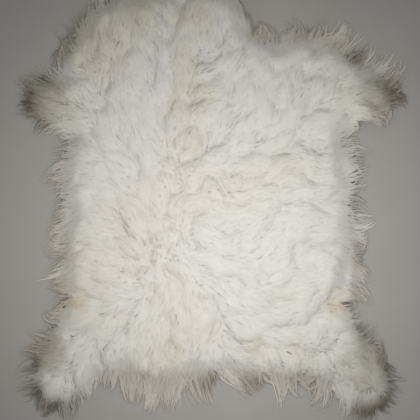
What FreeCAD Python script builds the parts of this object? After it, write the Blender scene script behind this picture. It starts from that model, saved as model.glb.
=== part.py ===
"""A natural long-haired pelt rug, laid flat with its hair up.

The rug is one tanned skin with the hair that grows on it.  The skin has the outline of the animal: a
broad neck, two forelegs, straight flanks, two hind legs and a short tail.  A dense undercoat stands on
the skin, and long guard hair covers that and hangs past the skin's edge down to the floor.  The guard
hair is one soft layer here, parted into the tracts that a furrier names, each a closed solid that meets
its neighbours face to face.

Millimetres, +Z up, +Y towards the neck, origin on the floor under the middle of the rug.
"""

import FreeCAD, Part

import os
from math import hypot

from FreeCAD import Vector

# ---------------------------------------------------------------- driving sizes

SIZES = {
    "flank_half_width": 270.0,  # of the skin, at the flanks
    "pelt_half_length": 438.0,  # from the middle to the tips of the neck's hair
    "skin_thickness": 1.8,
    "undercoat_height": 12.0,
    "undercoat_inset": 9.0,  # from the skin's edge to the undercoat's
    "fringe_height": 10.0,  # of the hanging hair where it ends
    "shoulder_height": 28.0,  # of the coat over the skin's edge
    "crown_height": 42.0,  # of the coat inside the skin's edge
    "crown_inset": 18.0,  # from the skin's edge to where the coat is full height
    "back_half_width": 120.0,  # of the tracts along the spine
    "leg_line": 244.0,  # across, where the forelegs start
    "haunch_line": 190.0,  # across, where the hind legs start
    "neck_line": 290.0,  # along, where the neck starts
    "armpit_line": 118.0,
    "groin_line": -190.0,
    "tail_line": -300.0,
    "reach": 500.0,  # past every edge, where a tract's box may end
    "tract_box_height": 80.0,  # clear above the coat
}

# The outline, clockwise from the left of the neck.  Each row is one landmark: where the skin's edge is,
# and where the tips of the hair that hangs past it end.  Across is in percent of flank_half_width, along
# in percent of pelt_half_length.
OUTLINE = [
    # skin across, along      tips across, along
    ((-77.0, 85.4), (-82.2, 93.2)),     # neck
    ((-43.7, 90.9), (-45.9, 99.1)),
    ((-12.6, 92.7), (-14.1, 100.0)),
    ((12.6, 90.0), (14.1, 97.3)),
    ((23.0, 81.7), (27.4, 89.0)),
    ((34.8, 71.7), (35.6, 79.0)),       # notch beside the neck
    ((54.8, 68.0), (52.6, 78.5)),
    ((76.3, 68.9), (76.3, 84.0)),       # right shoulder
    ((95.6, 63.5), (102.2, 77.6)),
    ((113.3, 55.3), (123.0, 63.9)),
    ((128.9, 47.5), (138.5, 48.9)),     # right foreleg
    ((123.7, 41.6), (134.8, 39.3)),
    ((104.4, 36.5), (122.2, 31.5)),
    ((94.1, 29.7), (119.3, 25.6)),      # right armpit
    ((97.8, 18.7), (120.0, 16.0)),
    ((99.3, -4.1), (121.5, -6.8)),      # right flank
    ((100.0, -26.9), (127.4, -31.1)),
    ((100.0, -45.2), (120.0, -48.9)),   # right groin
    ((105.9, -58.0), (123.0, -59.8)),
    ((117.8, -68.9), (134.1, -70.3)),
    ((126.7, -80.8), (138.5, -83.6)),   # right hind leg
    ((120.7, -90.9), (130.4, -96.8)),
    ((104.4, -90.0), (105.9, -99.5)),
    ((94.1, -79.9), (85.9, -95.0)),
    ((67.4, -73.5), (60.7, -93.6)),     # rump
    ((30.4, -72.6), (28.1, -92.2)),
    ((-3.0, -72.6), (-3.0, -89.5)),     # tail
    ((-32.6, -73.5), (-31.1, -93.6)),
    ((-62.2, -73.5), (-59.3, -90.0)),
    ((-84.4, -76.3), (-83.0, -87.7)),
    ((-97.0, -83.6), (-95.6, -92.7)),
    ((-108.9, -90.0), (-111.9, -96.3)),  # left hind leg
    ((-122.2, -84.5), (-133.3, -89.5)),
    ((-122.2, -75.3), (-138.5, -78.5)),
    ((-110.4, -63.5), (-127.4, -66.2)),
    ((-103.0, -47.5), (-128.1, -50.7)),  # left groin
    ((-100.7, -24.7), (-127.4, -28.3)),
    ((-100.7, 0.5), (-125.2, -1.8)),    # left flank
    ((-99.3, 21.0), (-123.7, 19.6)),
    ((-95.6, 29.2), (-123.0, 27.9)),    # left armpit
    ((-110.4, 35.2), (-127.4, 32.4)),
    ((-125.2, 41.6), (-138.1, 40.6)),   # left foreleg
    ((-120.7, 49.8), (-133.3, 51.6)),
    ((-105.9, 55.3), (-119.3, 58.4)),
    ((-103.0, 63.5), (-117.8, 69.9)),   # left shoulder
    ((-94.1, 73.5), (-104.4, 82.6)),
]


def make_sheet(doc):
    """The spreadsheet that drives the model: one alias for each size."""
    sheet = doc.addObject("Spreadsheet::Sheet", "Sizes")
    for row, (alias, value) in enumerate(SIZES.items(), start=1):
        sheet.set(f"A{row}", alias)
        sheet.set(f"B{row}", str(value))
        sheet.setAlias(f"B{row}", alias)
    doc.recompute()
    return sheet


# ---------------------------------------------------------------- outlines


def skin_edge(sheet):
    """The points of the skin's edge."""
    wide = sheet.flank_half_width / 100
    long = sheet.pelt_half_length / 100
    return [Vector(across * wide, along * long, 0) for (across, along), _ in OUTLINE]


def hair_tips(sheet):
    """The points where the hanging hair ends, one for each point of the skin's edge."""
    wide = sheet.flank_half_width / 100
    long = sheet.pelt_half_length / 100
    return [Vector(across * wide, along * long, 0) for _, (across, along) in OUTLINE]


def drawn_in(points, inset):
    """A clockwise outline moved inwards by inset, square to the line through each point's neighbours."""
    moved = []
    count = len(points)
    for i, point in enumerate(points):
        along = points[(i + 1) % count] - points[i - 1]
        length = hypot(along.x, along.y)
        inward = Vector(along.y / length, -along.x / length, 0)
        moved.append(point + inward * inset)
    return moved


# ---------------------------------------------------------------- features


def origin_plane(body, role):
    """The body's own origin plane that has this role."""
    return next(f for f in body.Origin.OriginFeatures if f.Role == role)


def outline_sketch(body, name, points, height=None):
    """A sketch of one smooth closed outline, on the body's XY plane or raised by the expression height."""
    sketch = body.newObject("Sketcher::SketchObject", name)
    sketch.AttachmentSupport = (origin_plane(body, "XY_Plane"), [""])
    sketch.MapMode = "FlatFace"
    if height:
        sketch.setExpression("AttachmentOffset.Base.z", height)
    curve = Part.BSplineCurve()
    curve.interpolate(Points=points, PeriodicFlag=True)
    sketch.addGeometry(curve, False)
    return sketch


def padded_outline(doc, label, points, thickness, height=None):
    """A body that is one outline padded to a thickness, both sizes being expressions on the sheet."""
    body = doc.addObject("PartDesign::Body", label)
    body.Label = label
    sketch = outline_sketch(body, label + "_outline", points, height)
    pad = body.newObject("PartDesign::Pad", label + "_pad")
    pad.Profile = sketch
    pad.setExpression("Length", thickness)
    doc.recompute()
    return body


def make_hide(doc, sheet):
    """The tanned skin, one even sheet that lies flat on the floor."""
    return padded_outline(doc, "hide", skin_edge(sheet), "Sizes.skin_thickness")


def make_undercoat(doc, sheet):
    """The short dense down on the skin, which the guard hair hides."""
    points = drawn_in(skin_edge(sheet), sheet.undercoat_inset)
    return padded_outline(doc, "undercoat", points, "Sizes.undercoat_height", "Sizes.skin_thickness")


def make_hair_form(doc, sheet):
    """The whole soft space of the coat: from the hair tips on the floor up to its crown."""
    body = doc.addObject("PartDesign::Body", "hair_form")
    skin, tips = skin_edge(sheet), hair_tips(sheet)
    sections = [
        outline_sketch(body, "tips_on_floor", tips),
        outline_sketch(body, "tips_top", tips, "Sizes.fringe_height"),
        outline_sketch(body, "over_skin_edge", skin, "Sizes.shoulder_height"),
        outline_sketch(body, "crown", drawn_in(skin, sheet.crown_inset), "Sizes.crown_height"),
    ]
    loft = body.newObject("PartDesign::AdditiveLoft", "hair_loft")
    loft.Profile = sections[0]
    loft.Sections = sections[1:]
    loft.Ruled = True
    doc.recompute()
    return body


def make_guard_hair(doc, hide, undercoat, form):
    """The coat's space with the skin and the undercoat taken out of it."""
    inside = doc.addObject("Part::MultiFuse", "skin_and_undercoat")
    inside.Shapes = [hide, undercoat]
    guard = doc.addObject("Part::Cut", "guard_hair")
    guard.Base = form
    guard.Tool = inside
    doc.recompute()
    return guard


# Each tract's box: its name, then the sizes where it starts and ends across, and where it starts and ends
# along.
TRACTS = [
    ("neck_hair", "-reach", "reach", "neck_line", "reach"),
    ("withers_hair", "-back_half_width", "back_half_width", "armpit_line", "neck_line"),
    ("left_shoulder_hair", "-leg_line", "-back_half_width", "armpit_line", "neck_line"),
    ("right_shoulder_hair", "back_half_width", "leg_line", "armpit_line", "neck_line"),
    ("left_foreleg_hair", "-reach", "-leg_line", "armpit_line", "neck_line"),
    ("right_foreleg_hair", "leg_line", "reach", "armpit_line", "neck_line"),
    ("back_hair", "-back_half_width", "back_half_width", "groin_line", "armpit_line"),
    ("left_flank_hair", "-reach", "-back_half_width", "groin_line", "armpit_line"),
    ("right_flank_hair", "back_half_width", "reach", "groin_line", "armpit_line"),
    ("rump_hair", "-haunch_line", "haunch_line", "tail_line", "groin_line"),
    ("left_hind_leg_hair", "-reach", "-haunch_line", "-reach", "groin_line"),
    ("right_hind_leg_hair", "haunch_line", "reach", "-reach", "groin_line"),
    ("tail_hair", "-haunch_line", "haunch_line", "-reach", "tail_line"),
]


def on_sheet(size):
    """The expression that reads a size, which may have a minus sign before its name."""
    return "-Sizes." + size[1:] if size.startswith("-") else "Sizes." + size


def make_tract(doc, guard, name, left, right, rear, front):
    """One tract of the guard hair: what of it lies in an upright box."""
    box = doc.addObject("Part::Box", name + "_box")
    box.setExpression("Placement.Base.x", on_sheet(left))
    box.setExpression("Placement.Base.y", on_sheet(rear))
    box.setExpression("Length", f"{on_sheet(right)} - ({on_sheet(left)})")
    box.setExpression("Width", f"{on_sheet(front)} - ({on_sheet(rear)})")
    box.setExpression("Height", "Sizes.tract_box_height")
    tract = doc.addObject("Part::Common", name)
    tract.Base = guard
    tract.Tool = box
    tract.Label = name
    return tract


def check(doc, parts):
    """Stops if an object failed or a sub-part isn't sound closed solids."""
    for item in doc.Objects:
        if "Invalid" in item.State or "Error" in item.State:
            raise RuntimeError(f"{item.Name} failed: {item.State}")
    for part in parts:
        shape = part.Shape
        if shape.isNull() or not shape.isValid() or not shape.Solids:
            raise RuntimeError(f"{part.Label} isn't a valid solid")


def main():
    """Builds every sub-part, checks them all, and writes each to its own file."""
    doc = FreeCAD.newDocument("pelt_rug")
    sheet = make_sheet(doc)
    hide = make_hide(doc, sheet)
    undercoat = make_undercoat(doc, sheet)
    form = make_hair_form(doc, sheet)
    guard = make_guard_hair(doc, hide, undercoat, form)
    parts = [hide, undercoat] + [make_tract(doc, guard, *row) for row in TRACTS]
    doc.recompute()
    check(doc, parts)
    os.makedirs("parts", exist_ok=True)
    for part in parts:
        part.Shape.exportStep(f"parts/{part.Label}.step")
        box = part.Shape.BoundBox
        print(f"{part.Label}: {len(part.Shape.Solids)} solid, z {box.ZMin:.1f} to {box.ZMax:.1f} mm")


main()
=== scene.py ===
"""The looks of a long-haired pelt rug: its tanned skin, its undercoat and its combed guard hair."""

import functools
import math

import bmesh
import bpy
import numpy as np
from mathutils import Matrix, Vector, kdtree


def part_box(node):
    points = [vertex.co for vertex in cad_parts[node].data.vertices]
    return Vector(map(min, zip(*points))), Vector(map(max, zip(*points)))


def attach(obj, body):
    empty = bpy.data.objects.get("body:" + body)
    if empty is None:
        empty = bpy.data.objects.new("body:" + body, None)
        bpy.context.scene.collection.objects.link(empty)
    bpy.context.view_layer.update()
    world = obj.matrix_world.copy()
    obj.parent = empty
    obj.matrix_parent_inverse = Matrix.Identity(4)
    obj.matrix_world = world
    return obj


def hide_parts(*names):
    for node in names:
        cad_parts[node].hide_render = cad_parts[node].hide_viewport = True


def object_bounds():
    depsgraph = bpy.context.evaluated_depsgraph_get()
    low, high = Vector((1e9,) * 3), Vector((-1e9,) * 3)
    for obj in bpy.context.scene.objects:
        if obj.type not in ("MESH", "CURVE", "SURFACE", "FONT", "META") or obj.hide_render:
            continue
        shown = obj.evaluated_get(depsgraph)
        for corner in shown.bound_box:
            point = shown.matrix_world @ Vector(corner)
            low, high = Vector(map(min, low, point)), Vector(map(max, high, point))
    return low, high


bl_info = {
    "name": "Pelt Rug",
    "version": (1, 0, 0),
    "blender": (4, 5, 0),
    "location": "View3D > Sidebar > Pelt Rug",
    "description": "Dresses the frame of a pelt rug with skin, undercoat and combed guard hair",
    "category": "Object",
}

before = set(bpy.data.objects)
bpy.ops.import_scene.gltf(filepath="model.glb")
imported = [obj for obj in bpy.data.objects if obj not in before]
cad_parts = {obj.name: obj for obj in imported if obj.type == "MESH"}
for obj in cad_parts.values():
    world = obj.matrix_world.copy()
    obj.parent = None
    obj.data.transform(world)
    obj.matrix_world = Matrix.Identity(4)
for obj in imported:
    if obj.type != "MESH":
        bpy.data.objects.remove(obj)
CAD_BOX = [list(corner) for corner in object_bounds()]

MM = 0.001

# The frame nodes that are tracts of the coat of guard hair.
TRACTS = sorted(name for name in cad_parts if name.endswith("_hair"))


# ---------------------------------------------------------------- the comb

# How the coat lies.  Each guide is one stroke of the comb: where it starts, across and along the rug in
# percent of half its width and half its length; its heading in degrees, with 0 to the right and 90 to the
# neck; the hair's length there in millimetres; and how strongly it curls, from 0 to 1.
GUIDES = [
    # the neck's edge, left to right
    (-84, 70, 128, 68, 0.2),
    (-76, 60, 120, 70, 0.2),
    (-62, 76, 108, 70, 0.2),
    (-45, 84, 100, 72, 0.2),
    (-25, 88, 93, 72, 0.2),
    (-5, 88, 90, 72, 0.2),
    (10, 84, 84, 72, 0.2),
    (20, 74, 78, 58, 0.3),
    # the notch and the right shoulder
    (30, 66, 62, 74, 0.7),
    (42, 64, 74, 90, 0.4),
    (54, 66, 66, 92, 0.2),
    (66, 64, 50, 94, 0.2),
    (78, 58, 38, 90, 0.2),
    (86, 50, 36, 88, 0.2),
    (92, 42, 8, 84, 0.2),
    (84, 37, -14, 80, 0.2),
    # the right flank, neck end first
    (73, 28, 22, 76, 0.4),
    (73, 16, 24, 78, 0.4),
    (73, 2, -6, 78, 0.3),
    (73, -12, -22, 82, 0.4),
    (73, -26, -30, 90, 0.6),
    (72, -38, -16, 80, 0.4),
    (76, -52, 6, 60, 0.3),
    # the right hind leg
    (86, -66, 24, 84, 0.2),
    (92, -80, -18, 84, 0.2),
    (86, -89, -66, 74, 0.2),
    (74, -87, -98, 74, 0.2),
    # the tail's edge, right to left
    (62, -75, -84, 104, 0.5),
    (48, -74, -104, 122, 0.5),
    (32, -73, -82, 122, 0.4),
    (12, -72, -66, 100, 0.3),
    (-8, -72, -92, 110, 0.2),
    (-24, -73, -96, 122, 0.2),
    (-42, -73, -88, 102, 0.2),
    (-58, -75, -100, 72, 0.2),
    # the left hind leg
    (-72, -84, -78, 74, 0.2),
    (-84, -89, -108, 72, 0.2),
    (-92, -80, 192, 84, 0.2),
    (-86, -70, 166, 82, 0.2),
    (-77, -56, 186, 80, 0.2),
    # the left flank, tail end first
    (-74, -44, 184, 78, 0.2),
    (-74, -28, 202, 80, 0.2),
    (-74, -10, 196, 78, 0.2),
    (-73, 6, 184, 76, 0.2),
    (-72, 20, 176, 74, 0.2),
    (-72, 31, 196, 60, 0.3),
    # the left foreleg and shoulder
    (-88, 40, 182, 82, 0.2),
    (-84, 50, 152, 84, 0.2),
    (-76, 55, 140, 72, 0.2),
    # the withers and shoulders
    (-55, 48, 112, 62, 0.2),
    (-58, 28, 132, 62, 0.2),
    (-38, 62, 98, 62, 0.2),
    (-36, 36, 112, 62, 0.2),
    (-15, 66, 94, 60, 0.2),
    (-15, 48, 98, 60, 0.3),
    (-2, 50, 12, 46, 0.4),
    (-2, 36, 70, 42, 0.3),
    (16, 56, 70, 62, 0.3),
    (18, 38, 58, 62, 0.3),
    (38, 50, 72, 62, 0.3),
    (38, 32, 44, 60, 0.2),
    (60, 48, 58, 62, 0.2),
    (58, 34, 18, 60, 0.2),
    # the back
    (-32, 14, 126, 62, 0.3),
    (-48, 2, 138, 64, 0.2),
    (-58, -14, 156, 64, 0.2),
    (-30, -4, 118, 60, 0.3),
    (-8, 6, 24, 50, 0.5),
    (6, 2, -30, 50, 0.5),
    (16, 8, 20, 56, 0.4),
    (34, 10, 26, 60, 0.3),
    (50, 12, -34, 56, 0.2),
    (60, 4, 8, 62, 0.2),
    (22, -14, 46, 60, 0.4),
    (44, -18, 38, 62, 0.3),
    (60, -20, 4, 64, 0.2),
    # the whorl on the left of the spine, and the hair that leaves it
    (-30, -17, 112, 58, 0.3),
    (-40, -26, 160, 60, 0.3),
    (-20, -28, -44, 60, 0.3),
    (-26, -32, -74, 62, 0.3),
    (0, -26, -22, 60, 0.4),
    (22, -36, -8, 60, 0.4),
    (42, -40, 22, 58, 0.5),
    (60, -44, 32, 54, 0.7),
    # the rump and the haunches
    (-42, -46, 190, 62, 0.2),
    (-56, -40, 184, 62, 0.2),
    (-54, -60, 214, 60, 0.2),
    (-28, -48, -112, 64, 0.5),
    (-10, -46, -70, 60, 0.5),
    (-26, -60, -108, 66, 0.2),
    (0, -58, -94, 66, 0.2),
    (18, -50, -30, 62, 0.3),
    (26, -66, -14, 56, 0.3),
    (46, -64, 12, 54, 0.4),
    (54, -56, 44, 52, 1.0),
    (68, -60, 20, 50, 0.4),
    (80, -76, -30, 46, 0.2),
    (-80, -78, 220, 46, 0.2),
]

# How many waves make up a relief.
WAVE_COUNT = 14

# How much further hairs stray from their heading where the comb's strokes disagree.
WHORL_STRAY = 12

# How far the comb's strokes have to agree, from 0 to 1, for hair to lie as settled as it can.
SETTLED = 0.7

# The sizes of the cells of the maps of the skin's edge, of the comb and of the coat.
EDGE_CELL, COMB_CELL, COAT_CELL = 4 * MM, 5 * MM, 2 * MM

# The height and half width of a tuft's or clump's back, and the half width of a lock: places along the hair
# as shares of its length, and the value at each as a share of the most.
BACK_HEIGHT = ([0, 0.35, 0.8, 1], [0.75, 1, 0.75, 0.15])
BACK_WIDTH = ([0, 0.3, 0.75, 1], [0.7, 1, 0.7, 0.25])
LOCK_WIDTH = ([0, 0.25, 0.6, 0.85, 1], [0.7, 1, 0.85, 0.5, 0])

# How much hairs of a kind differ in length, and how far they wave, in degrees.
TUFT_SPREAD, CLUMP_SPREAD, LOCK_SPREAD = (0.10, 10), (0.12, 12), (0.14, 8)

# Half the width of a tuft's and a clump's back, as a share of the spacing between them.
TUFT_BULK, CLUMP_BULK = 0.62, 0.75

# How far roots stay inside the skin's edge, and how far hair stays over the floor.
ROOT_INSET, FLOOR_GAP = 0.5 * MM, 0.6 * MM

# The pitch of the waves in which the coat's shoulder wanders, the skin's edge lifts and the down is matted.
WANDER_PITCH, LIFT_PITCH, DOWN_PITCHES = 60 * MM, 90 * MM, (16 * MM, 7 * MM)

# The width of the skin's edge that may lift off the floor.
LIFT_WIDTH = 30 * MM

# How much of the undercoat is gone in the middle of a bare spot, and how thick its thin edge is.
DOWN_WORN, DOWN_RIM = 0.85, 2 * MM

# The share of a lock's cell of the surface map that is left free around it.
MAP_GAP = 0.06

# Where the hair is thin and tinted by the skin under it: across and along in percent, and the radius in
# millimetres.
BARE_SPOTS = [
    (-75, -45, 14),
    (-69, -46, 12),
    (71, -47, 13),
    (65, -48, 10),
]

# Where the rug's rim is dark, partly from the legs' darker hair and partly from painted shadow along the
# coat's edge: across and along in percent, and the radius in millimetres.
DARK_RIMS = [
    (78, 66, 24),
    (95, 47, 50),
    (-80, 70, 40),
    (-91, 45, 60),
    (-88, -84, 75),
    (90, -84, 80),
    (77, -62, 28),
    (22, -84, 20),
    (0, -84, 20),
]

# Where the hair is greyer than elsewhere, in the same terms.
GREY_PATCHES = [
    (83, -74, 54),
    (-86, -68, 42),
    (-88, 45, 45),
    (88, 48, 34),
]

# Where the hair is creamier than elsewhere, in the same terms.
CREAM_PATCHES = [
    (-9, 80, 42),
    (-12, 62, 32),
    (-9, 46, 45),
    (-10, 28, 28),
    (-20, -66, 26),
    (6, -84, 30),
    (-40, 84, 40),
    (26, 76, 24),
    (-58, 72, 70),
    (-82, 42, 60),
    (-74, -45, 40),
    (70, -47, 40),
    (26, -66, 22),
]


# ---------------------------------------------------------------- places read from the frame


def half_size():
    """Half the rug's width and half its length, in metres."""
    low, high = CAD_BOX
    return np.array([(high[0] - low[0]) / 2, (high[1] - low[1]) / 2])


def outline_of(name):
    """The outline of a flat frame node's top face, as an ordered ring of points."""
    mesh = bmesh.new()
    mesh.from_mesh(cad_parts[name].data)
    bmesh.ops.remove_doubles(mesh, verts=mesh.verts, dist=1e-6)
    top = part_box(name)[1][2] - 0.01 * MM
    rim = {}
    for edge in mesh.edges:
        flat = [all(v.co.z > top for v in face.verts) for face in edge.link_faces]
        if any(flat) and not all(flat):
            first, second = edge.verts
            rim.setdefault(first, []).append(second)
            rim.setdefault(second, []).append(first)
    start = next(iter(rim))
    ring, last, here = [start], None, start
    while True:
        step = next(v for v in rim[here] if v is not last)
        if step is start:
            break
        ring.append(step)
        last, here = here, step
    points = np.array([vert.co[:2] for vert in ring])
    mesh.free()
    return points


def evenly(ring, spacing):
    """A closed ring of points spaced evenly along its length."""
    closed = np.vstack([ring, ring[:1]])
    run = np.concatenate([[0], np.cumsum(np.linalg.norm(np.diff(closed, axis=0), axis=1))])
    at = np.linspace(0, run[-1], max(8, int(run[-1] / spacing)), endpoint=False)
    return np.column_stack([np.interp(at, run, closed[:, k]) for k in range(2)])


class Map:
    """Values on an even grid over the rug and the floor beside it, read at any point between."""

    def __init__(self, ring, cell, margin=160 * MM):
        self.cell = cell
        self.low = ring.min(0) - margin
        self.count = np.ceil((ring.max(0) + margin - self.low) / cell).astype(int) + 1
        xs, ys = (self.low[k] + np.arange(self.count[k]) * cell for k in range(2))
        self.columns = [np.column_stack([np.full(len(ys), x), ys]) for x in xs]
        self.high = np.array([xs[-1], ys[-1]])
        self.grid = None

    def fill(self, values_at):
        """Works out the values column by column with values_at, which takes points."""
        self.grid = np.stack([values_at(column) for column in self.columns])
        return self

    def at(self, points):
        """The values at each point."""
        place = np.clip((points - self.low) / self.cell, 0, self.count - 1.001)
        i = place.astype(int)
        f = place - i
        g = self.grid
        if g.ndim == 3:
            f = f[..., None]
        fx, fy = f[:, 0], f[:, 1]
        x, y = i[:, 0], i[:, 1]
        low = g[x, y] * (1 - fx) + g[x + 1, y] * fx
        high = g[x, y + 1] * (1 - fx) + g[x + 1, y + 1] * fx
        return low * (1 - fy) + high * fy


def distance_map(ring):
    """The distance of any point to a closed outline, positive inside it."""
    a, b = ring, np.roll(ring, -1, axis=0)
    along = b - a
    length = (along ** 2).sum(1)
    rise = np.where(along[:, 1] == 0, 1e-12, along[:, 1])

    def distance(points):
        """The distance of each of a few points, from all the outline's edges at once."""
        off = points[:, None] - a[None]
        t = np.clip((off * along).sum(2) / length, 0, 1)
        near = np.sqrt(((off - t[..., None] * along) ** 2).sum(2).min(1))
        spans = (a[None, :, 1] > points[:, None, 1]) != (b[None, :, 1] > points[:, None, 1])
        cut = a[:, 0] + (points[:, None, 1] - a[None, :, 1]) / rise * along[:, 0]
        inside = (spans & (points[:, None, 0] < cut)).sum(1) % 2 == 1
        return np.where(inside, near, -near)

    return Map(ring, EDGE_CELL).fill(distance)


@functools.cache
def edge_of(name):
    """A CAD node's outline in even short steps, and the map of the distance to it."""
    ring = evenly(outline_of(name), 1 * MM)
    return ring, distance_map(evenly(ring, EDGE_CELL))


def comb_map(ring, softness):
    """How the coat lies at any point: the heading's two parts, the hair's length and its curl.

    The heading is shorter than 1 where the guides around a point disagree, as at a whorl or a parting.
    """
    rows = np.array(GUIDES)
    places = rows[:, :2] / 100 * half_size()
    turn = np.radians(rows[:, 2])
    values = np.column_stack([np.cos(turn), np.sin(turn), rows[:, 3] * MM, rows[:, 4]])

    def lie(points):
        """The average of all the guides' values, the near ones counting most."""
        gap = ((points[:, None] - places[None]) ** 2).sum(2)
        weight = 1 / (gap + softness ** 2) ** 2.5
        return (weight / weight.sum(1, keepdims=True)) @ values

    return Map(ring, COMB_CELL).fill(lie)


def heap_map(ring, strands, width):
    """How high the backs of hairs of one width stand over the gaps between them, from 0 to 1."""
    heap = Map(ring, COAT_CELL)
    heap.grid = np.zeros(heap.count)
    t = np.linspace(0.04, 1, 16)
    path = sampled(strands.path, np.tile(t, (len(strands.path), 1)))
    back = np.interp(t, *BACK_HEIGHT)
    high = (back[None] * (0.55 + 0.45 * strands.rank[:, None])).ravel()
    wide = np.tile(width * np.interp(t, *BACK_WIDTH), len(path))
    place = (path.reshape(-1, 2) - heap.low) / heap.cell
    middle = np.round(place).astype(int)
    reach = math.ceil(width / heap.cell)
    for i in range(-reach, reach + 1):
        for j in range(-reach, reach + 1):
            cell = middle + [i, j]
            gap = np.linalg.norm(cell - place, axis=1) * heap.cell / wide
            value = high * np.sqrt(np.maximum(0, 1 - gap ** 2))
            cell = np.clip(cell, 0, heap.count - 1)
            np.maximum.at(heap.grid, (cell[:, 0], cell[:, 1]), value)
    return heap


def smooth_step(value):
    """Runs from 0 to 1 with level ends as value does."""
    t = np.clip(value, 0, 1)
    return t * t * (3 - 2 * t)


# ---------------------------------------------------------------- sheets


def fill_outline(name, ring, inside, spacing):
    """A flat sheet with the outline ring, meshed by an even grid whose rim is drawn out to the outline."""
    low, high = ring.min(0), ring.max(0)
    size, middle = high - low, (high + low) / 2
    bpy.ops.object.select_all(action="DESELECT")
    bpy.ops.mesh.primitive_grid_add(
        x_subdivisions=int(size[0] / spacing), y_subdivisions=int(size[1] / spacing), size=1,
        location=(middle[0], middle[1], 0),
    )
    sheet = bpy.context.active_object
    sheet.name = name
    sheet.scale = (size[0], size[1], 1)
    bpy.ops.object.transform_apply(location=True, rotation=False, scale=True)
    mesh = bmesh.new()
    mesh.from_mesh(sheet.data)
    middles = np.array([face.calc_center_median()[:2] for face in mesh.faces])
    outer = [face for face, depth in zip(mesh.faces, inside.at(middles)) if depth < spacing * 0.45]
    bmesh.ops.delete(mesh, geom=outer, context="FACES")
    for vert in mesh.verts:
        if vert.is_boundary:
            near = ring[((ring - np.array(vert.co[:2])) ** 2).sum(1).argmin()]
            vert.co.x, vert.co.y = near
    bmesh.ops.remove_doubles(mesh, verts=mesh.verts, dist=spacing * 0.2)
    mesh.to_mesh(sheet.data)
    mesh.free()
    return sheet


def ripple(points, size, seed):
    """Smooth random relief from -1 to 1 over points, made of waves in many directions."""
    rng = np.random.default_rng(seed)
    total = np.zeros(len(points))
    for _ in range(WAVE_COUNT):
        turn, phase = rng.uniform(0, 2 * math.pi, 2)
        pitch = size * rng.uniform(0.7, 1.6)
        run = points @ np.array([math.cos(turn), math.sin(turn)])
        total += np.sin(run * 2 * math.pi / pitch + phase)
    return total / math.sqrt(WAVE_COUNT)


def vertex_places(obj):
    """The places of an object's mesh points."""
    places = np.empty(len(obj.data.vertices) * 3)
    obj.data.vertices.foreach_get("co", places)
    return places.reshape(-1, 3)


def place_vertices(obj, places):
    """Moves an object's mesh points."""
    obj.data.vertices.foreach_set("co", places.ravel())
    obj.data.update()


def thicken(obj, thickness):
    """Gives a flat sheet its thickness, downwards, and shades it smooth."""
    bpy.ops.object.select_all(action="DESELECT")
    obj.select_set(True)
    bpy.context.view_layer.objects.active = obj
    solid = obj.modifiers.new("thickness", "SOLIDIFY")
    solid.thickness = thickness
    solid.offset = -1
    bpy.ops.object.modifier_apply(modifier=solid.name)
    bpy.ops.object.shade_smooth_by_angle(angle=math.radians(50))


# ---------------------------------------------------------------- hair


def scatter(outline_map, spacing, rng, keep=0.0):
    """Points spread at random but evenly inside the outline, more than keep from its edge."""
    low = outline_map.low
    nx, ny = np.ceil((outline_map.high - low) / spacing).astype(int)
    gx, gy = np.meshgrid(np.arange(nx), np.arange(ny), indexing="ij")
    points = np.column_stack([gx.ravel() + 0.5 * (gy.ravel() % 2), gy.ravel()]).astype(float)
    points += rng.uniform(-0.48, 0.48, points.shape)
    points = low + points * spacing
    return points[outline_map.at(points) > keep]


def nearest(points, centres):
    """For each point, which centre is nearest to it."""
    tree = kdtree.KDTree(len(centres))
    for i, (x, y) in enumerate(centres):
        tree.insert((x, y, 0), i)
    tree.balance()
    return np.array([tree.find((x, y, 0))[1] for x, y in points])


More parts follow.
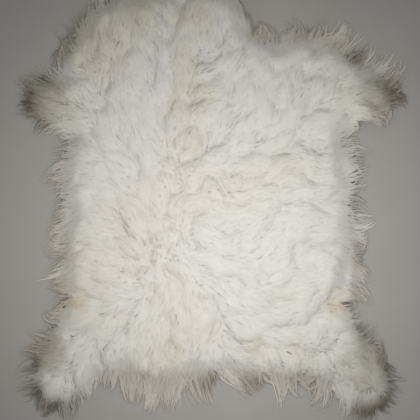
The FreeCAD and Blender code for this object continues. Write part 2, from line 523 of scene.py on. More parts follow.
class Strands:
    """A set of hairs seen from above: their paths from root to tip, their height ranks and their tints."""

    def __init__(self, roots, comb, curl, rng, stray, length_spread, wave, steps=6, scale=1.0):
        count = len(roots)
        self.roots = roots
        self.steps = steps
        self.stray = rng.normal(0, math.radians(stray), count)
        self.phase = rng.uniform(0, 2 * math.pi, count)
        self.waves = rng.uniform(0.8, 1.7, count)
        self.wave = math.radians(wave) * rng.uniform(0.4, 1.3, count)
        self.side = np.where(rng.uniform(0, 1, count) < 0.5, -1.0, 1.0)
        self.length = scale * rng.lognormal(0, length_spread, count)
        self.rank = rng.uniform(0, 1, count)
        self.tint = rng.uniform(0, 1, count)
        self.trace(comb, curl)

    def trace(self, comb, most_curl):
        """Follows the comb from each root, in steps, with each hair's own stray, wave and curl."""
        here = self.roots.copy()
        lie = comb.at(here)
        agreement = np.linalg.norm(lie[:, :2], axis=1)
        self.settled = smooth_step(agreement / SETTLED)
        stray = self.stray * (1 + WHORL_STRAY * (1 - agreement) ** 2)
        step = (lie[:, 2] * (0.6 + 0.4 * self.settled) * self.length / self.steps)[:, None]
        curl = lie[:, 3]
        path = [here]
        for k in range(self.steps):
            heading = comb.at(here)[:, :2]
            heading /= np.maximum(np.linalg.norm(heading, axis=1, keepdims=True), 1e-6)
            t = (k + 0.5) / self.steps
            bend = stray + self.wave * np.sin(self.phase + t * self.waves * 2 * math.pi)
            bend = bend + self.side * curl * most_curl * (t - 0.3)
            c, s = np.cos(bend), np.sin(bend)
            across = heading[:, 0] * c - heading[:, 1] * s
            along = heading[:, 0] * s + heading[:, 1] * c
            here = here + np.column_stack([across, along]) * step
            path.append(here)
        self.path = np.stack(path, axis=1)

    def gather(self, parent, pinch, shape):
        """Draws each hair's path towards its parent's as it nears the tip, and returns the parents."""
        owner = nearest(self.roots, parent.roots)
        t = np.linspace(0, 1, self.steps + 1)
        lead = sampled(parent.path[owner], np.tile(t, (len(owner), 1)))
        share = (pinch * self.settled)[:, None] * t[None] ** shape
        self.path = self.path + (lead - self.path) * share[..., None]
        return owner

    def trim(self, skin, reach, outside):
        """Ends each hair where it has gone reach past the skin's edge, or outside past the CAD's own box."""
        count, rings, _ = self.path.shape
        past = -skin.at(self.path.reshape(-1, 2)).reshape(count, rings) - reach[:, None]
        past = np.maximum(past, (np.abs(self.path) - half_size()).max(2) - outside)
        over = past > 0
        over[:, 0] = False
        first = np.where(over.any(1), over.argmax(1), rings - 1)
        row = np.arange(count)
        before, after = past[row, first - 1], past[row, first]
        part = np.where(after > 0, np.clip(-before / np.maximum(after - before, 1e-9), 0.05, 1), 1)
        share = (first - 1 + part) / (rings - 1)
        self.path = sampled(self.path, share[:, None] * np.linspace(0, 1, rings)[None])


def handed_down(parent, own):
    """A hair's value where it takes after its tuft or clump more than it has its own."""
    return 0.6 * parent + 0.4 * own


def sampled(path, t):
    """The points of each path at shares t of its length, between its own points."""
    last = path.shape[1] - 1
    place = np.clip(t * last, 0, last - 1e-6)
    k = place.astype(int)
    part = (place - k)[..., None]
    row = np.arange(len(path))[:, None]
    return path[row, k] * (1 - part) + path[row, k + 1] * part


class Coat:
    """The coat as a whole: how it is combed, its tufts and clumps, its height and which way its top faces."""

    def __init__(self, settings):
        self.settings = settings
        self.rng = np.random.default_rng(settings.seed)
        self.ring, self.skin = edge_of("hide")
        self.comb = comb_map(self.ring, settings.comb_softness)
        tufts = self.strands(settings.tuft_spacing, settings.tuft_stray, *TUFT_SPREAD)
        clumps = self.strands(settings.clump_spacing, settings.clump_stray, *CLUMP_SPREAD)
        tuft = clumps.gather(tufts, self.pinch(clumps.roots, settings.tuft_pinch), settings.pinch_shape)
        self.lay(tufts, clumps)
        clumps.rank = handed_down(tufts.rank[tuft], clumps.rank)
        clumps.tint = handed_down(tufts.tint[tuft], clumps.tint)
        self.clumps = clumps
        together = self.rng.uniform(0, 1, len(tufts.rank))[tuft]
        self.hang = (0.5 * together + 0.5 * self.rng.uniform(0, 1, len(tuft))) ** 1.2

    def strands(self, spacing, stray, length_spread, wave):
        """Strands scattered over the whole skin."""
        roots = scatter(self.skin, spacing, self.rng)
        return Strands(roots, self.comb, self.settings.curl, self.rng, stray, length_spread, wave)

    def lay(self, tufts, clumps):
        """Maps the coat's height, its slope and how far its hair is heaped up."""
        settings, ring = self.settings, self.ring
        tuft = heap_map(ring, tufts, TUFT_BULK * settings.tuft_spacing)
        clump = heap_map(ring, clumps, CLUMP_BULK * settings.clump_spacing)
        self.heap = Map(ring, COAT_CELL)
        self.heap.grid = 0.75 * tuft.grid + 0.25 * clump.grid

        def top(points):
            """The height over the floor: it falls off at the skin's edge and sinks between tufts."""
            distance = self.skin.at(points) + settings.edge_wander * ripple(points, WANDER_PITCH, 4)
            share = 1 / (1 + np.exp(-(distance + self.overhang(points)) / settings.edge_slope))
            relief = settings.tuft_relief * (tuft.at(points) - 1)
            relief = relief + settings.clump_relief * (clump.at(points) - 1)
            return settings.tip_height + (settings.crown_height - settings.tip_height + relief) * share

        self.height = Map(ring, COAT_CELL).fill(top)
        slope = np.stack(np.gradient(self.height.grid, self.height.cell), axis=-1)
        steep = np.linalg.norm(slope, axis=-1, keepdims=True)
        slope *= np.minimum(1, settings.most_slope / np.maximum(steep, 1e-6))
        self.slope = Map(ring, COAT_CELL)
        self.slope.grid = slope

    def pinch(self, points, share):
        """How far hair rooted at points joins its neighbours: share, and more near the skin's edge."""
        near_edge = 1 - smooth_step(self.skin.at(points) / self.settings.spike_band)
        return share + (self.settings.edge_pinch - share) * near_edge

    def overhang(self, points):
        """How far past the skin's edge the full coat hangs: further where the hair is long."""
        fullness = (self.comb.at(points)[:, 2] / self.settings.fringe_length) ** 4
        return self.settings.fringe_overhang * (0.5 + fullness)

    def lean(self, points):
        """The direction that the coat's top faces at each point."""
        facing = np.column_stack([-self.slope.at(points), np.ones(len(points))])
        return facing / np.linalg.norm(facing, axis=1, keepdims=True)


class Locks:
    """Locks of one kind: their paths in space, half widths, thickness for width, tints and roots; a tint is
    partly random tone and partly painted shade of the gaps between tufts.
    """

    def __init__(self, path, half_width, flatness, tint, roots):
        self.path = path
        self.half_width = half_width
        self.flatness = flatness
        self.tint = tint
        self.roots = roots

    def within(self, mine):
        """The locks that mine picks."""
        return Locks(self.path[mine], self.half_width[mine], self.flatness, self.tint[mine], self.roots[mine])

    def shares_along(self):
        """How far along a lock each of its mesh points is, from 0 at the root to 1."""
        rings = self.path.shape[1]
        return np.append(np.repeat(np.linspace(0, 1, rings)[:-1], 3), 1.0)

    def points(self):
        """The locks' mesh points: rings of left, top and right, then the tip."""
        path = self.path
        count, rings, _ = path.shape
        ahead = np.gradient(path, axis=1)
        ahead /= np.maximum(np.linalg.norm(ahead, axis=2, keepdims=True), 1e-9)
        side = np.cross(ahead, [0.0, 0.0, 1.0])
        side /= np.maximum(np.linalg.norm(side, axis=2, keepdims=True), 1e-9)
        over = np.cross(side, ahead)
        t = np.linspace(0, 1, rings)[:-1]
        swell = np.interp(t, *LOCK_WIDTH)
        reach = self.half_width[:, None, None] * swell[None, :, None]
        points = np.empty((count, (rings - 1) * 3 + 1, 3))
        middle, side, over = path[:, :-1], side[:, :-1] * reach, over[:, :-1] * reach * self.flatness
        points[:, 0:-1:3] = middle - side
        points[:, 1:-1:3] = middle + over
        points[:, 2:-1:3] = middle + side
        points[:, -1] = path[:, -1]
        return points


def lock_faces(rings):
    """One lock's faces as corner lists, and each corner's place on the lock's strip of the map."""
    faces, places = [], []
    levels = 0.1 + 0.9 * np.linspace(0, 1, rings)
    tip = (rings - 1) * 3
    for k in range(rings - 1):
        for j in range(3):
            a, b = k * 3 + j, k * 3 + (j + 1) % 3
            left, right = j / 3, (j + 1) / 3
            if k < rings - 2:
                faces.append((a, a + 3, b + 3, b))
                low, high = levels[k], levels[k + 1]
                places.append([(left, low), (left, high), (right, high), (right, low)])
            else:
                faces.append((a, tip, b))
                places.append([(left, levels[k]), ((left + right) / 2, 1.0), (right, levels[k])])
    faces.append((0, 1, 2))
    places.append([(0.0, 0.08), (0.5, 0.0), (1.0, 0.08)])
    return faces, places


def hair_mesh(name, kinds):
    """A mesh of the locks of several kinds, each lock in its own cell of the surface map."""
    across = math.ceil(math.sqrt(sum(len(kind.path) for kind in kinds)))
    cell = 1 / across
    points, loops, sizes, uvs, column = [], [], [], [], []
    first_point, first_lock = 0, 0
    for kind in kinds:
        block = kind.points()
        count, per, _ = block.shape
        rings = kind.path.shape[1]
        faces, strips = lock_faces(rings)
        corners = np.concatenate([np.array(face) for face in faces])
        strip = np.concatenate([np.array(place) for place in strips])
        points.append(block.reshape(-1, 3))
        loops.append((corners[None] + first_point + (np.arange(count) * per)[:, None]).ravel())
        sizes.append(np.tile([len(face) for face in faces], count))
        index = first_lock + np.arange(count)
        corner = np.column_stack([index % across, index // across]) * cell
        uvs.append((corner[:, None] + cell * (MAP_GAP + (1 - 2 * MAP_GAP) * strip[None])).reshape(-1, 2))
        column.append(np.tile(np.append(np.tile([0, 1, 2], rings - 1), 3), count))
        first_point += count * per
        first_lock += count
    loops, sizes, column = np.concatenate(loops), np.concatenate(sizes), np.concatenate(column)

    mesh = bpy.data.meshes.new(name)
    mesh.vertices.add(first_point)
    mesh.vertices.foreach_set("co", np.concatenate(points).ravel().astype(np.float32))
    mesh.loops.add(len(loops))
    mesh.loops.foreach_set("vertex_index", loops.astype(np.int32))
    mesh.polygons.add(len(sizes))
    starts = np.concatenate([[0], np.cumsum(sizes)[:-1]])
    mesh.polygons.foreach_set("loop_start", starts.astype(np.int32))
    mesh.polygons.foreach_set("use_smooth", np.ones(len(sizes), dtype=bool))
    mesh.update(calc_edges=True)
    mark_sharp(mesh, column)
    layer = mesh.uv_layers.new(name="OFBake")
    layer.data.foreach_set("uv", np.concatenate(uvs).ravel().astype(np.float32))
    return mesh


def mark_sharp(mesh, column):
    """Marks each lock's two sides sharp, from points in columns 0 and 2, and leaves its ridge smooth."""
    ends = np.empty(len(mesh.edges) * 2, dtype=np.int32)
    mesh.edges.foreach_get("vertices", ends)
    low, high = np.sort(column[ends.reshape(-1, 2)], axis=1).T
    sharp = (low != 1) & ((low == high) | (high == 3))
    edges = mesh.attributes.new("sharp_edge", "BOOLEAN", "EDGE")
    edges.data.foreach_set("value", sharp)


def build_hair(name, kinds, coat):
    """One object of locks of several kinds, with the values on its mesh that its material reads."""
    mesh = hair_mesh(name, kinds)
    places = np.concatenate([kind.points().reshape(-1, 3) for kind in kinds])[:, :2]
    along = [np.tile(kind.shares_along(), len(kind.path)) for kind in kinds]
    tint = [np.repeat(kind.tint, len(kind.shares_along())) for kind in kinds]
    depth = coat.skin.at(places)
    rim_width = coat.settings.rim_width
    values_of = {
        "along": np.concatenate(along),
        "tint": np.concatenate(tint),
        # Where hair lies past the skin's edge: there it gets painted see-through and shade, and its shading
        # leans less towards the coat's.
        "fringe": smooth_step(-(depth + 0.5 * coat.overhang(places)) / coat.settings.fringe_width),
        # The dark rims: painted shadow along the coat's edge, and partly the legs' darker hair.
        "rim": smooth_step((rim_width - depth) / (2 * rim_width)) * near_spots(places, DARK_RIMS),
        "cream": near_spots(places, CREAM_PATCHES),
        "grey": near_spots(places, GREY_PATCHES),
        "blush": near_spots(places, BARE_SPOTS),
    }
    for label, values in values_of.items():
        layer = mesh.attributes.new(label, "FLOAT", "POINT")
        layer.data.foreach_set("value", values.astype(np.float32))
    lean = mesh.attributes.new("lean", "FLOAT_VECTOR", "POINT")
    lean.data.foreach_set("vector", coat.lean(places).ravel().astype(np.float32))
    obj = bpy.data.objects.new(name, mesh)
    bpy.context.scene.collection.objects.link(obj)
    return obj


def near_spots(points, spots):
    """How near each point is to the nearest of the spots, from 0 outside them all to 1 well inside one."""
    half = half_size()
    most = np.zeros(len(points))
    for across, along, radius in spots:
        middle = np.array([across, along]) / 100 * half
        gap = np.linalg.norm(points - middle, axis=1)
        most = np.maximum(most, 1 - smooth_step((gap / (radius * MM) - 0.7) / 0.6))
    return most


def grow_locks(coat):
    """The coat's locks: broad flat underlocks, locks over them, fine wisps, and short locks in the whorls."""
    settings, rng, skin = coat.settings, coat.rng, coat.skin

    def grown(spacing, width, reach, flatness, levels, pinch, length=1.05, thinning=1, rings=6, where=None):
        """One kind of lock, with levels the shares of the coat's height that the lowest and highest reach."""
        roots = scatter(skin, spacing, rng, ROOT_INSET)
        if where:
            roots = roots[where(roots)]
        roots = roots[rng.uniform(0, 1, len(roots)) > near_spots(roots, BARE_SPOTS)]
        locks = Strands(roots, coat.comb, settings.curl, rng, settings.lock_stray, *LOCK_SPREAD,
                        steps=rings - 1, scale=length)
        owner = locks.gather(coat.clumps, coat.pinch(roots, pinch), settings.pinch_shape)
        rank = handed_down(coat.clumps.rank[owner], locks.rank)
        fullness = (coat.comb.at(roots)[:, 2] / settings.fringe_length) ** thinning
        own = rng.uniform(0.1, 1.0, len(roots)) ** settings.fringe_thinning
        locks.trim(skin, reach * (0.3 + 0.7 * coat.hang[owner]) * own * fullness, settings.box_margin)
        flat = locks.path
        count = len(flat)
        t = np.linspace(0, 1, rings)[None]
        every = flat.reshape(-1, 2)
        top = coat.height.at(every).reshape(count, rings)
        heap = coat.heap.at(every).reshape(count, rings).max(1)
        # A lock's tint is half its own and its clump's random tone, and half painted shade: where the tufts'
        # heap is low, in the gaps between them, the tint is low and the lock is painted darker.
        tint = 0.35 * coat.clumps.tint[owner] + 0.15 * locks.tint + 0.5 * np.clip(heap, 0, 1)
        level = (levels[0] + (levels[1] - levels[0]) * rank)[:, None]
        rise = settings.rise * (0.3 + 0.7 * locks.settled)[:, None]
        height = settings.root_height + (top * level - settings.root_height) * smooth_step(t / rise)
        height = height * (1 - settings.tip_droop * t ** 2)
        half = width / 2 * rng.uniform(0.7, 1.3, count)
        height = np.maximum(height, FLOOR_GAP + half[:, None] * flatness)
        return Locks(np.concatenate([flat, height[..., None]], axis=2), half, flatness, tint, roots)

    def at_edge(roots):
        """Which roots are in the band along the skin's edge."""
        return skin.at(roots) < settings.edge_band

    def in_whorl(roots):
        """Which roots are where the comb's strokes disagree."""
        return np.linalg.norm(coat.comb.at(roots)[:, :2], axis=1) < settings.whorl_agreement

    low = settings.low_rank
    under = {"width": settings.under_width, "reach": settings.under_reach, "thinning": 4}
    wisp = {"width": settings.wisp_width, "reach": settings.wisp_reach, "flatness": 0.7}
    return [
        grown(settings.under_spacing, **under, flatness=0.22, levels=(low, 0.94), pinch=0.35, length=0.8),
        grown(settings.lock_spacing, settings.lock_width, settings.lock_reach, flatness=0.3,
              levels=(low, 1.0), pinch=settings.clump_pinch, length=1.0, thinning=4),
        grown(settings.wisp_spacing, **wisp, levels=(low, 1.03), pinch=settings.clump_pinch),
        grown(settings.edge_spacing, **wisp, levels=(low, 1.0), pinch=0.3, where=at_edge),
        grown(settings.fill_spacing, **under, flatness=0.3, levels=(0.82, 0.95), pinch=0.0, length=0.3,
              rings=5, where=in_whorl),
    ]


# ---------------------------------------------------------------- materials


def new_material(name):
    """A new node material, its node tree and its shader."""
    material = bpy.data.materials.new(name)
    material.use_nodes = True
    tree = material.node_tree
    shader = tree.nodes["Principled BSDF"]
    return material, tree, shader


def add_node(tree, kind, inputs=None, **looks):
    """A new node with its own looks set, and each input linked to a socket or set to a value."""
    node = tree.nodes.new("ShaderNode" + kind)
    for name, value in looks.items():
        setattr(node, name, value)
    for place, value in (inputs or {}).items():
        if isinstance(value, bpy.types.NodeSocket):
            tree.links.new(value, node.inputs[place])
        else:
            node.inputs[place].default_value = value
    return node


def attribute(tree, name):
    """One of the mesh's own values."""
    return add_node(tree, "Attribute", attribute_name=name).outputs["Fac"]


def ramp(tree, factor, stops):
    """A colour ramp over factor, from (position, colour) stops."""
    node = add_node(tree, "ValToRGB", {"Fac": factor})
    elements = node.color_ramp.elements
    while len(elements) < len(stops):
        elements.new(0.5)
    for element, (position, colour) in zip(elements, stops):
        element.position = position
        element.color = (*colour, 1)
    return node.outputs["Color"]


def tinted(tree, factor, colour, tint):
    """A colour multiplied by a tint, as far as factor says."""
    if isinstance(tint, tuple):
        tint = (*tint, 1)
    inputs = {"Factor": factor, 6: colour, 7: tint}
    return add_node(tree, "Mix", inputs, data_type="RGBA", blend_type="MULTIPLY").outputs[2]


def noise(tree, scale, detail, roughness=0.5):
    """A noise pattern on the piece's own coordinates."""
    place = add_node(tree, "TexCoord").outputs["Object"]
    inputs = {"Vector": place, "Scale": scale, "Detail": detail, "Roughness": roughness}
    return add_node(tree, "TexNoise", inputs).outputs["Fac"]


def scaled(tree, value, by, plus):
    """A value times by, plus plus, kept from 0 to 1."""
    inputs = {0: value, 1: by, 2: plus}
    return add_node(tree, "Math", inputs, operation="MULTIPLY_ADD", use_clamp=True).outputs[0]


def streaked(tree, name, by, plus):
    """One of the mesh's own values, stronger on the hair whose tint is low: by is how fast it fades."""
    inputs = {0: attribute(tree, name), 1: scaled(tree, attribute(tree, "tint"), by, plus)}
    return add_node(tree, "Math", inputs, operation="MULTIPLY", use_clamp=True).outputs[0]


def blended_normal(tree, shader, softness, edge_softness):
    """Turns the shader's normal from the lock's own towards the coat's, less so at the fringe."""
    share = scaled(tree, attribute(tree, "fringe"), edge_softness - softness, softness)
    own = add_node(tree, "NewGeometry").outputs["Normal"]
    lean = add_node(tree, "Attribute", attribute_name="lean").outputs["Vector"]
    blend = add_node(tree, "Mix", {"Factor": share, 4: own, 5: lean}, data_type="VECTOR")
    unit = add_node(tree, "VectorMath", {0: blend.outputs[1]}, operation="NORMALIZE")
    tree.links.new(unit.outputs["Vector"], shader.inputs["Normal"])


def bump(tree, shader, height, strength, distance):
    """A bump on the shader from a height pattern."""
    node = add_node(tree, "Bump", {"Height": height, "Strength": strength, "Distance": distance})
    tree.links.new(node.outputs["Normal"], shader.inputs["Normal"])


def hair_material(settings):
    """White hair: creamy at the root, clearer at the tip, with each lock its own tone; painted shade darkens
    the locks low between tufts, the fringe past the skin's edge and the dark rims.
    """
    material, tree, shader = new_material("guard_hair")
    root, tip = tuple(settings.root_colour), tuple(settings.tip_colour)
    length = ramp(tree, attribute(tree, "along"), [(0.0, root), (0.45, tip), (1.0, tip)])
    # Painted shade: locks of low tint, which lie low between the tufts, are painted darker; the rest of the
    # tint is random tone.
    shade = ramp(tree, attribute(tree, "tint"), [(0.2, (0.95, 0.943, 0.925)), (0.8, (1.0, 1.0, 1.0))])
    colour = tinted(tree, 1.0, length, shade)
    patches = ramp(tree, noise(tree, 5.0, 3.0), [(0.35, (0.96, 0.945, 0.90)), (0.65, (1.0, 1.0, 1.0))])
    colour = tinted(tree, 1.0, colour, patches)
    # Painted see-through and shade: hair past the skin's edge is darkened, its low-tint locks most, to stand
    # for the floor seen through thin hair and the shade among it.
    thin = tuple(settings.fringe_painted_shade)
    each = ramp(tree, attribute(tree, "tint"), [(0.2, thin), (0.8, (0.90, 0.89, 0.87))])
    colour = tinted(tree, attribute(tree, "fringe"), colour, each)
    tints = [
        # Painted shadow along the rims, partly the legs' darker hair, strongest on low-tint locks.
        (streaked(tree, "rim", -2.2, 1.9), settings.rim_tone_and_painted_shadow),
        (streaked(tree, "cream", -1.8, 1.7), settings.cream_shade),
        (attribute(tree, "grey"), settings.grey_shade),
        (attribute(tree, "blush"), settings.blush_shade),
    ]
    for factor, tint in tints:
        colour = tinted(tree, factor, colour, tuple(tint))
    tree.links.new(colour, shader.inputs["Base Color"])
    blended_normal(tree, shader, settings.softness, settings.fringe_softness)
    shader.inputs["Roughness"].default_value = 0.6
    shader.inputs["Specular IOR Level"].default_value = 0.2
    return material


def undercoat_material(settings):
    """Dense down, dull and a little matted."""
    material, tree, shader = new_material("down")
    hollow, down = tuple(settings.hollow_colour), tuple(settings.down_colour)
    colour = ramp(tree, noise(tree, 160.0, 4.0), [(0.3, hollow), (0.7, down)])
    tree.links.new(colour, shader.inputs["Base Color"])
    shader.inputs["Roughness"].default_value = 0.9
    shader.inputs["Sheen Weight"].default_value = 0.3
    bump(tree, shader, noise(tree, 420.0, 5.0, 0.7), 0.9, 2 * MM)
    return material


def skin_material(settings):
    """Tanned skin: creamy and a little pink, with pores and a fine grain."""
    material, tree, shader = new_material("tanned_skin")
    pink, cream = tuple(settings.pink_colour), tuple(settings.cream_colour)
    tone = ramp(tree, noise(tree, 22.0, 4.0), [(0.35, pink), (0.65, cream)])
    pores = ramp(tree, noise(tree, 700.0, 2.0), [(0.35, (0.82, 0.78, 0.74)), (0.6, (1.0, 1.0, 1.0))])
    tree.links.new(tinted(tree, 1.0, tone, pores), shader.inputs["Base Color"])
    shader.inputs["Roughness"].default_value = 0.7
    bump(tree, shader, noise(tree, 500.0, 5.0, 0.6), 0.5, 0.5 * MM)
    return material


# ---------------------------------------------------------------- settings


def a_length(name, description, millimetres):
    """A length setting, whose default is given in millimetres."""
    return bpy.props.FloatProperty(
        name=name, description=description, default=millimetres * MM, unit="LENGTH", precision=4
    )


def a_number(name, description, default):
    """A plain number setting."""
    return bpy.props.FloatProperty(name=name, description=description, default=default)


def a_colour(name, description, default):
    """A colour setting."""
    return bpy.props.FloatVectorProperty(
        name=name, description=description, subtype="COLOR", default=default, min=0, max=1
    )


class PeltHairSettings(bpy.types.PropertyGroup):
    """Sizes and colours of the guard hair."""

    seed: bpy.props.IntProperty(name="Seed", description="Start of every random draw", default=11)
    comb_softness: a_length("Comb Softness", "How far each stroke of the comb blends into the next", 22)
    tuft_spacing: a_length("Tuft Spacing", "Distance between the tufts", 33)
    clump_spacing: a_length("Clump Spacing", "Distance between the clumps of a tuft", 11)
    under_spacing: a_length("Underlock Spacing", "Distance between the broad underlocks", 5.6)
    under_width: a_length("Underlock Width", "Width of the broad underlocks", 7)
    under_reach: a_length("Underlock Reach", "How far underlocks hang past the skin", 30)
    lock_spacing: a_length("Lock Spacing", "Distance between the locks", 5)
    lock_width: a_length("Lock Width", "Width of the locks", 3.4)
    lock_reach: a_length("Lock Reach", "How far locks hang past the skin", 110)
    wisp_spacing: a_length("Wisp Spacing", "Distance between the fine wisps", 10)
    wisp_width: a_length("Wisp Width", "Width of the fine wisps", 0.8)
    wisp_reach: a_length("Wisp Reach", "How far wisps hang past the skin", 130)
    edge_spacing: a_length("Edge Spacing", "Distance between the wisps along the skin's edge", 3.4)
    edge_band: a_length("Edge Band", "Width of the band of close wisps along the skin's edge", 30)
    fringe_thinning: a_number("Fringe Thinning", "How fast the fringe thins out", 1.2)
    fringe_width: a_length("Fringe Width", "How far past the skin's edge the hair's shade changes", 16)
    fringe_overhang: a_length("Fringe Overhang", "How far past the skin's edge a full fringe stays high", 6)
    rim_width: a_length("Rim Width", "Half the width of the dark rims", 16)
    fill_spacing: a_length("Fill Spacing", "Distance between the short locks that fill a whorl", 3.8)
    whorl_agreement: a_number("Whorl Agreement", "Agreement of the comb below which short hair grows", 0.8)
    tuft_stray: a_number("Tuft Stray", "Spread of the tufts' headings, in degrees", 22)
    clump_stray: a_number("Clump Stray", "Spread of the clumps' headings, in degrees", 9)
    lock_stray: a_number("Lock Stray", "Spread of the locks' headings, in degrees", 6)
    tuft_pinch: a_number("Tuft Pinch", "How far clumps join at a tuft's tip", 0.6)
    clump_pinch: a_number("Clump Pinch", "How far locks join at a clump's tip", 0.7)
    edge_pinch: a_number("Edge Pinch", "The same at the skin's edge, where tufts end in spikes", 0.78)
    box_margin: a_length("Box Margin", "How far past the CAD's own box hair may hang", 26)
    spike_band: a_length("Spike Band", "Width of the band along the edge where tufts are spiky", 45)
    pinch_shape: a_number("Pinch Shape", "How late along the hair it joins", 1.3)
    fringe_length: a_length("Fringe Length", "Hair length of a full fringe; shorter hair thins it", 82)
    curl: a_number("Curl", "The bend of the curliest hair, in radians", 2.6)
    root_height: a_length("Root Height", "Height of the roots over the floor", 3)
    crown_height: a_length("Crown Height", "Height of the coat's top over the floor", 42)
    tip_height: a_length("Tip Height", "Height of the coat at the hanging tips", 3)
    edge_slope: a_length("Edge Slope", "Width over which the coat falls at the skin's edge", 11)
    edge_wander: a_length("Edge Wander", "How far the coat's shoulder wanders about the skin's edge", 5)
    most_slope: a_number("Most Slope", "The steepest slope that the shading of the coat shows", 0.65)
    tuft_relief: a_length("Tuft Relief", "Depth of the gaps between the tufts", 9.5)
    clump_relief: a_length("Clump Relief", "Depth of the gaps between the clumps", 1.4)
    low_rank: a_number("Low Rank", "Share of the height that the lowest locks reach", 0.9)
    rise: a_number("Rise", "Share of its length in which a lock rises", 0.5)
    softness: a_number("Softness", "How far the locks' shading leans towards the coat's", 0.9)
    fringe_softness: a_number("Fringe Softness", "The same for the hair past the skin's edge", 0.35)
    tip_droop: a_number("Tip Droop", "Share of its height that a tip sinks", 0.15)
    root_colour: a_colour("Root Colour", "Colour of the hair at its root", (0.82, 0.785, 0.70))
    tip_colour: a_colour("Tip Colour", "Colour of the hair at its tip", (0.85, 0.827, 0.785))
    # Partly the legs' darker hair, partly painted shadow along the rims.
    rim_tone_and_painted_shadow: a_colour("Rim Shade", "What the hair of the dark rims is darkened by", (0.48, 0.46, 0.42))
    grey_shade: a_colour("Grey Shade", "What the hair of grey patches is darkened by", (0.76, 0.75, 0.72))
    cream_shade: a_colour("Cream Shade", "What the hair of creamy patches is tinted by", (0.92, 0.90, 0.82))
    blush_shade: a_colour("Blush Shade", "What thin hair over bare skin is tinted by", (0.95, 0.87, 0.80))
    # Painted see-through and shade on the hair past the skin's edge.
    fringe_painted_shade: a_colour("Fringe Shade", "What hair past the edge is darkened by", (0.50, 0.48, 0.44))


class PeltSkinSettings(bpy.types.PropertyGroup):
    """Sizes and colours of the skin and the undercoat."""

    skin_grid: a_length("Skin Grid", "Size of the skin's mesh faces", 5)
    skin_thickness: a_length("Skin Thickness", "Thickness of the skin", 1.6)
    skin_ripple: a_length("Skin Ripple", "How far the skin's edge lifts off the floor", 1.5)
    down_grid: a_length("Down Grid", "Size of the undercoat's mesh faces", 4)
    down_share: a_number("Down Share", "Share of the coat's height that the undercoat fills", 0.78)
    down_relief: a_length("Down Relief", "Depth of the hollows in the undercoat", 1.5)
    down_slope: a_length("Down Slope", "Width of the undercoat's sloping edge", 14)
    pink_colour: a_colour("Pink Colour", "Colour of the skin where it is thin", (0.78, 0.62, 0.52))
    cream_colour: a_colour("Cream Colour", "Colour of the skin where it is thick", (0.84, 0.76, 0.65))
    down_colour: a_colour("Down Colour", "Colour of the undercoat", (0.88, 0.85, 0.79))
    hollow_colour: a_colour("Hollow Colour", "Colour of the undercoat's hollows", (0.82, 0.78, 0.70))


class PeltStageSettings(bpy.types.PropertyGroup):
    """The floor, the lights and the camera."""

    floor_colour: a_colour("Floor Colour", "Colour of the floor", (0.47, 0.455, 0.42))
    lens: a_number("Lens", "Focal length of the camera, in millimetres", 85)
    view_width: a_length("View Width", "Width of the floor that the camera sees", 840)
    view_across: a_length("View Across", "How far right of the rug's middle the camera hangs", 2)
    view_along: a_length("View Along", "How far the camera hangs towards the neck from the middle", -18)
    key_power: a_number("Key Power", "Power of the key light, in watts", 19.0)
    key_size: a_length("Key Size", "Radius of the key light", 300)
    key_across: a_length("Key Across", "How far right of the rug's middle the key light hangs", 30)
    key_along: a_length("Key Along", "How far the key light hangs towards the neck from the middle", -90)
    key_height: a_length("Key Height", "Height of the key light over the floor", 750)
    sky: a_number("Sky", "Strength of the light from all around", 0.19)


# ---------------------------------------------------------------- operators


class PELT_OT_stage(bpy.types.Operator):
    """Lays the floor and sets the camera and the lights."""

    bl_idname = "pelt.stage"
    bl_label = "Stage"

    def execute(self, context):
        settings = context.scene.pelt_stage
        camera = bpy.data.cameras.new("camera")
        camera.lens = settings.lens
        holder = bpy.data.objects.new("camera", camera)
        context.scene.collection.objects.link(holder)
        distance = settings.view_width * settings.lens / camera.sensor_width
        holder.location = (settings.view_across, settings.view_along, distance)
        context.scene.camera = holder

        bpy.ops.object.select_all(action="DESELECT")
        bpy.ops.mesh.primitive_plane_add(size=12, location=(0, 0, 0))
        floor = context.active_object
        floor.name = "floor"
        material, tree, shader = new_material("floor")
        pale = tuple(settings.floor_colour)
        dull = tuple(0.96 * value for value in pale)
        colour = ramp(tree, noise(tree, 9.0, 6.0), [(0.3, dull), (0.7, pale)])
        tree.links.new(colour, shader.inputs["Base Color"])
        shader.inputs["Roughness"].default_value = 0.9
        floor.data.materials.append(material)

        key = bpy.data.lights.new("key", "SPOT")
        key.energy, key.shadow_soft_size = settings.key_power, settings.key_size
        key.spot_size, key.spot_blend = math.radians(120), 1.0
        light = bpy.data.objects.new("key", key)
        light.location = (settings.key_across, settings.key_along, settings.key_height)
        context.scene.collection.objects.link(light)
        world = bpy.data.worlds.new("world")
        world.use_nodes = True
        sky = world.node_tree.nodes["Background"]
        sky.inputs["Color"].default_value = (0.9, 0.9, 0.9, 1)
        sky.inputs["Strength"].default_value = settings.sky
        context.scene.world = world
        context.scene.view_settings.view_transform = "Standard"
        return {"FINISHED"}


class PELT_OT_skin(bpy.types.Operator):
    """Cuts the tanned skin to its outline and lays it on the floor."""

    bl_idname = "pelt.skin"
    bl_label = "Skin"

    def execute(self, context):
        settings = context.scene.pelt_skin
        ring, inside = edge_of("hide")
        skin = fill_outline("skin", ring, inside, settings.skin_grid)
        thicken(skin, settings.skin_thickness)
        places = vertex_places(skin)
        depth = inside.at(places[:, :2])
        lift = settings.skin_ripple * (1 + ripple(places[:, :2], LIFT_PITCH, 3)) / 2
        lift = lift * (1 - smooth_step(depth / LIFT_WIDTH))
        places[:, 2] += settings.skin_thickness + np.maximum(lift, 0)
        place_vertices(skin, places)
        skin.data.materials.append(skin_material(settings))
        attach(skin, "root")
        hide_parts("hide")
        return {"FINISHED"}


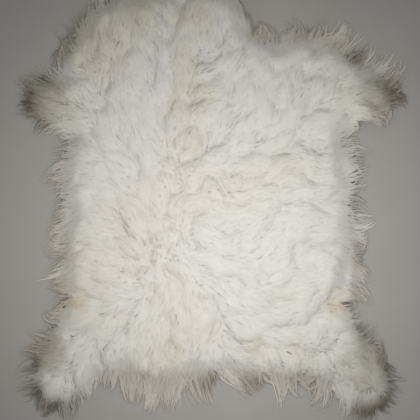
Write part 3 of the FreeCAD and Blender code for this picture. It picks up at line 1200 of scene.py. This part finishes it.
class PELT_OT_undercoat(bpy.types.Operator):
    """Covers the skin with its dense undercoat, fluffed up under the guard hair."""

    bl_idname = "pelt.undercoat"
    bl_label = "Undercoat"

    def execute(self, context):
        settings = context.scene.pelt_skin
        coat = Coat(context.scene.pelt_hair)
        ring, inside = edge_of("undercoat")
        down = fill_outline("down", ring, inside, settings.down_grid)
        low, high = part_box("undercoat")
        height = high[2] - low[2]
        thicken(down, height)
        places = vertex_places(down)
        upper = places[:, 2] > -height / 2
        flat = places[upper, :2]
        slope = smooth_step(inside.at(flat) / settings.down_slope)
        slope = slope * (1 - DOWN_WORN * near_spots(flat, BARE_SPOTS))
        broad, fine = DOWN_PITCHES
        relief = settings.down_relief * (ripple(flat, broad, 5) + 0.6 * ripple(flat, fine, 6))
        top = settings.down_share * coat.height.at(flat) + relief
        rim = low[2] + DOWN_RIM
        places[upper, 2] = rim + (top - rim) * slope
        places[~upper, 2] = low[2]
        place_vertices(down, places)
        down.data.materials.append(undercoat_material(settings))
        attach(down, "root")
        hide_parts("undercoat")
        return {"FINISHED"}


class PELT_OT_guard_hair(bpy.types.Operator):
    """Grows the guard hair over the whole skin and parts it into its tracts."""

    bl_idname = "pelt.guard_hair"
    bl_label = "Guard Hair"

    def execute(self, context):
        settings = context.scene.pelt_hair
        coat = Coat(settings)
        kinds = grow_locks(coat)
        material = hair_material(settings)
        taken = [np.zeros(len(kind.roots), dtype=bool) for kind in kinds]
        for name in TRACTS:
            low, high = (np.array(corner[:2]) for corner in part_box(name))
            parts = []
            for kind, used in zip(kinds, taken):
                mine = ~used & ((kind.roots >= low) & (kind.roots <= high)).all(1)
                used |= mine
                parts.append(kind.within(mine))
            hair = build_hair(name.replace("_hair", "_locks"), parts, coat)
            hair.data.materials.append(material)
            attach(hair, "root")
            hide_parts(name)
        return {"FINISHED"}


class PELT_PT_panel(bpy.types.Panel):
    """The steps of the pelt rug, in order."""

    bl_label = "Pelt Rug"
    bl_idname = "PELT_PT_panel"
    bl_space_type = "VIEW_3D"
    bl_region_type = "UI"
    bl_category = "Pelt Rug"

    def draw(self, context):
        for operator in OPERATORS:
            self.layout.operator(operator.bl_idname)


OPERATORS = [PELT_OT_stage, PELT_OT_skin, PELT_OT_undercoat, PELT_OT_guard_hair]
GROUPS = {"pelt_hair": PeltHairSettings, "pelt_skin": PeltSkinSettings, "pelt_stage": PeltStageSettings}


def register():
    """Adds the settings, the operators and the panel."""
    for cls in [*GROUPS.values(), *OPERATORS, PELT_PT_panel]:
        bpy.utils.register_class(cls)
    for name, cls in GROUPS.items():
        setattr(bpy.types.Scene, name, bpy.props.PointerProperty(type=cls))


def unregister():
    """Takes them away again."""
    for name in GROUPS:
        delattr(bpy.types.Scene, name)
    for cls in [PELT_PT_panel, *reversed(OPERATORS), *reversed(GROUPS.values())]:
        bpy.utils.unregister_class(cls)


def main():
    """Registers the add-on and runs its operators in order."""
    register()
    bpy.ops.pelt.stage()
    bpy.ops.pelt.skin()
    bpy.ops.pelt.undercoat()
    bpy.ops.pelt.guard_hair()


if __name__ == "__main__":
    main()
